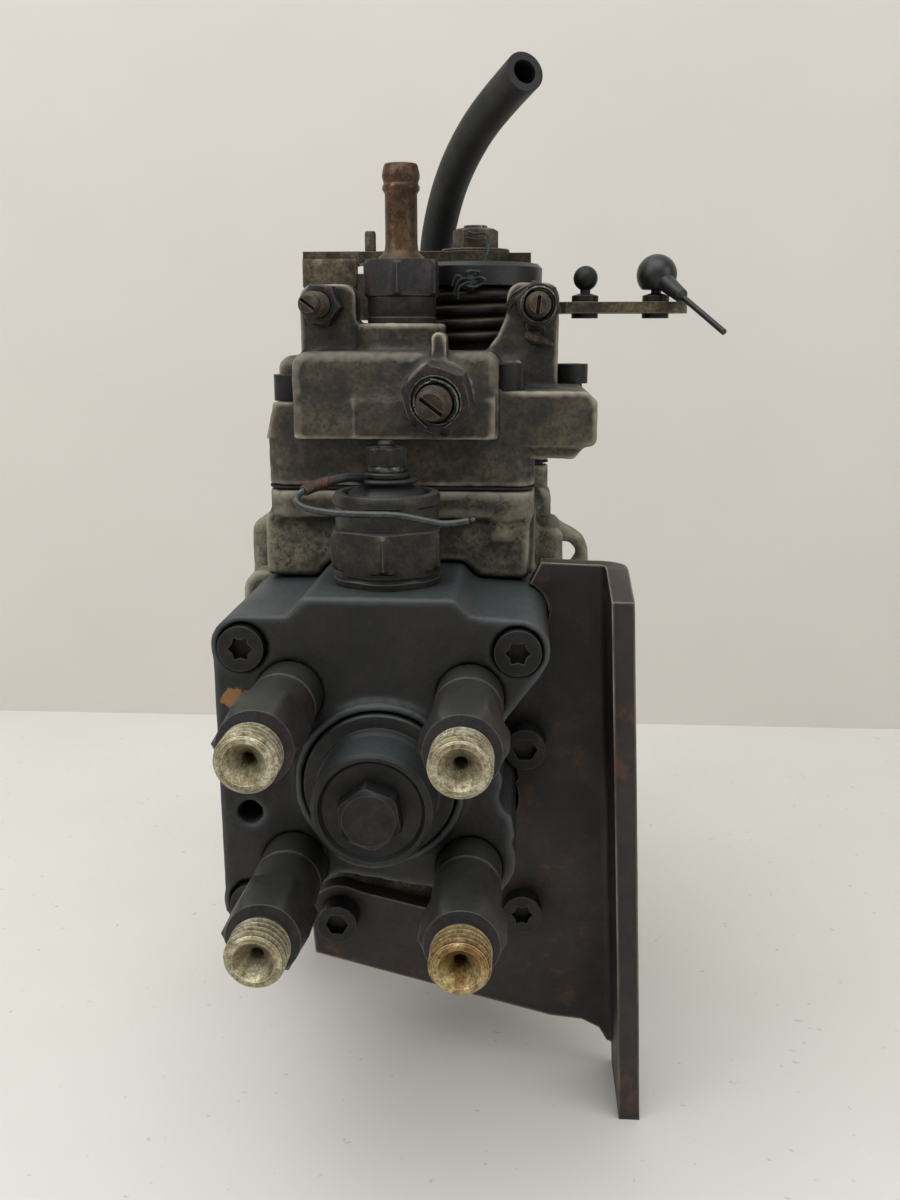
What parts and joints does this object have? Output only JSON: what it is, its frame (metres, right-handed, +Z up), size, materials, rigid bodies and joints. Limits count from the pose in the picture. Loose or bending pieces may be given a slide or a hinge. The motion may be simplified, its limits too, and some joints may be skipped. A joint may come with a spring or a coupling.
{
  "type": "distributor injection pump",
  "caption": "Rotary distributor fuel injection pump with axial outlets, shut-off solenoid, governor cover with control lever, support bracket and drive shaft.",
  "frame": {"origin": "on the drive shaft axis, at the mounting flange face that meets the engine", "axes": "+Y along the shaft towards the engine, -Y towards the delivery outlets, +Z up towards the governor cover, +X to the right seen from the outlets"},
  "size_m": [0.1286, 0.219, 0.2492],
  "materials": {
    "housing": "rough cast, oily",
    "cover": "cast, greasy",
    "head": "cast steel, blackened",
    "bracket": "worn black paint, rust",
    "steel": "machined",
    "dark_steel": "blackened, oily",
    "zinc": "zinc plated",
    "brass": "dull",
    "brass_bright": "dull",
    "copper": "copper",
    "rubber": "matt",
    "plastic": "black",
    "wire": "green-grey insulation",
    "spring": "spring steel",
    "gasket": "dark sealing sheet",
    "bronze": "bearing bronze"
  },
  "bodies": {
    "pump": {"adjusting_screws": "dark_steel", "advance_covers": "housing", "advance_spring": "spring", "cover_gasket": "gasket", "delivery_valve_holders": "dark_steel", "delivery_valve_springs": "spring", "delivery_valves": "steel", "distributor_barrel": "steel", "distributor_head": "head", "feed_pump_plate": "steel", "feed_pump_ring": "steel", "fuel_hose": "rubber", "governor_cover": "cover", "governor_shaft": "steel", "governor_spring": "spring", "head_plug": "dark_steel", "head_plug_bolt": "dark_steel", "inlet_fitting": "brass", "lever_spring": "spring", "lock_nuts": "dark_steel", "plunger_springs": "spring", "pump_housing": "housing", "return_fitting": "brass", "shaft_bush": "bronze", "shaft_seal": "rubber", "socket_screws": "dark_steel", "solenoid_body": "zinc", "solenoid_insulator": "plastic", "solenoid_wire": "wire", "support_bracket": "bracket", "terminal_nut": "brass_bright", "torx_screws": "dark_steel", "wire_eyelet": "copper"},
    "drive": {"drive_shaft": "steel", "shaft_key": "steel", "drive_gear": "steel", "feed_pump_rotor": "steel", "feed_pump_vanes": "steel", "cross_coupling": "steel"},
    "plunger": {"pump_plunger": "steel", "cam_disc": "steel"},
    "bridge": {"spring_bridge": "steel"},
    "roller_ring": {"roller_ring": "steel", "cam_rollers": "steel"},
    "advance_piston": {"advance_piston": "steel"},
    "governor_cage": {"governor_cage": "steel"},
    "flyweight_1": {"flyweight_1": "steel"},
    "flyweight_2": {"flyweight_2": "steel"},
    "flyweight_3": {"flyweight_3": "steel"},
    "flyweight_4": {"flyweight_4": "steel"},
    "governor_sleeve": {"governor_sleeve": "steel"},
    "governor_levers": {"governor_levers": "steel"},
    "control_spool": {"control_spool": "steel"},
    "control_lever": {"control_lever": "zinc", "lever_shaft": "steel", "spring_cap": "plastic", "lever_nut": "zinc", "ball_studs": "plastic"},
    "link": {"link_socket": "zinc"},
    "armature": {"solenoid_armature": "dark_steel"}
  },
  "joints": [
    {"name": "drive_spin", "type": "hinge", "parent": "pump", "child": "drive", "pos_m": [0, 0, 0], "axis": [0, 1, 0], "continuous": true},
    {"name": "governor_cage_spin", "type": "hinge", "parent": "pump", "child": "governor_cage", "pos_m": [0, 0, 0.054], "axis": [0, 1, 0], "continuous": true},
    {"name": "plunger_lift", "type": "slide", "parent": "drive", "child": "plunger", "axis": [0, -1, 0], "range_m": [-0.0022, 0], "stiffness_N_per_m": 6000, "springref_m": -0.0052},
    {"name": "spring_bridge_lift", "type": "slide", "parent": "pump", "child": "bridge", "axis": [0, -1, 0], "range_m": [-0.0023, 0], "deforming": ["plunger_springs"]},
    {"name": "roller_ring_turn", "type": "hinge", "parent": "pump", "child": "roller_ring", "pos_m": [0, 0, 0], "axis": [0, 1, 0], "range_deg": [-5.7, 0], "stiffness_Nm_per_rad": 4, "springref_deg": 5.73, "deforming": ["advance_spring"]},
    {"name": "advance_piston_slide", "type": "slide", "parent": "pump", "child": "advance_piston", "axis": [1, 0, 0], "range_m": [0, 0.005]},
    {"name": "governor_lever_swing", "type": "hinge", "parent": "pump", "child": "governor_levers", "pos_m": [0, -0.081, 0.022], "axis": [1, 0, 0], "range_deg": [0, 3.13], "stiffness_Nm_per_rad": 1, "springref_deg": -5.73, "deforming": ["governor_spring"]},
    {"name": "governor_sleeve_slide", "type": "slide", "parent": "pump", "child": "governor_sleeve", "axis": [0, -1, 0], "range_m": [0, 0.00176]},
    {"name": "control_spool_slide", "type": "slide", "parent": "pump", "child": "control_spool", "axis": [0, 1, 0], "range_m": [0, 0.0007]},
    {"name": "flyweight_1_swing", "type": "hinge", "parent": "governor_cage", "child": "flyweight_1", "pos_m": [0, -0.0482, 0.064], "axis": [-1, 0, 0], "range_deg": [0, 14.4]},
    {"name": "flyweight_2_swing", "type": "hinge", "parent": "governor_cage", "child": "flyweight_2", "pos_m": [0.01, -0.0482, 0.054], "axis": [0, 0, 1], "range_deg": [0, 14.4]},
    {"name": "flyweight_3_swing", "type": "hinge", "parent": "governor_cage", "child": "flyweight_3", "pos_m": [0, -0.0482, 0.044], "axis": [1, 0, 0], "range_deg": [0, 14.4]},
    {"name": "flyweight_4_swing", "type": "hinge", "parent": "governor_cage", "child": "flyweight_4", "pos_m": [-0.01, -0.0482, 0.054], "axis": [0, 0, -1], "range_deg": [0, 14.4]},
    {"name": "control_lever_swing", "type": "hinge", "parent": "pump", "child": "control_lever", "pos_m": [0.0168, -0.063, 0.09], "axis": [0, 0, 1], "range_deg": [-28, 0], "stiffness_Nm_per_rad": 0.3, "springref_deg": 28.65, "deforming": ["lever_spring", "governor_spring"]},
    {"name": "link_swing", "type": "hinge", "parent": "control_lever", "child": "link", "pos_m": [0.063, -0.063, 0.1082], "axis": [0, 0, 1], "range_deg": [-30, 20]},
    {"name": "armature_lift", "type": "slide", "parent": "pump", "child": "armature", "axis": [0, 0, 1], "range_m": [0, 0.0012], "stiffness_N_per_m": 900, "springref_m": -0.004}
  ],
  "couplings": [
    {"joint": "governor_cage_spin", "follows": "drive_spin", "ratio": -1.4},
    {"joint": "spring_bridge_lift", "follows": "plunger_lift", "ratio": 1},
    {"joint": "advance_piston_slide", "follows": "roller_ring_turn", "m_per_rad": -0.05},
    {"joint": "governor_sleeve_slide", "follows": "governor_lever_swing", "m_per_rad": 0.032},
    {"joint": "control_spool_slide", "follows": "governor_lever_swing", "m_per_rad": 0.0127},
    {"joint": "flyweight_1_swing", "follows": "governor_lever_swing", "ratio": 4.57},
    {"joint": "flyweight_2_swing", "follows": "governor_lever_swing", "ratio": 4.57},
    {"joint": "flyweight_3_swing", "follows": "governor_lever_swing", "ratio": 4.57},
    {"joint": "flyweight_4_swing", "follows": "governor_lever_swing", "ratio": 4.57}
  ]
}
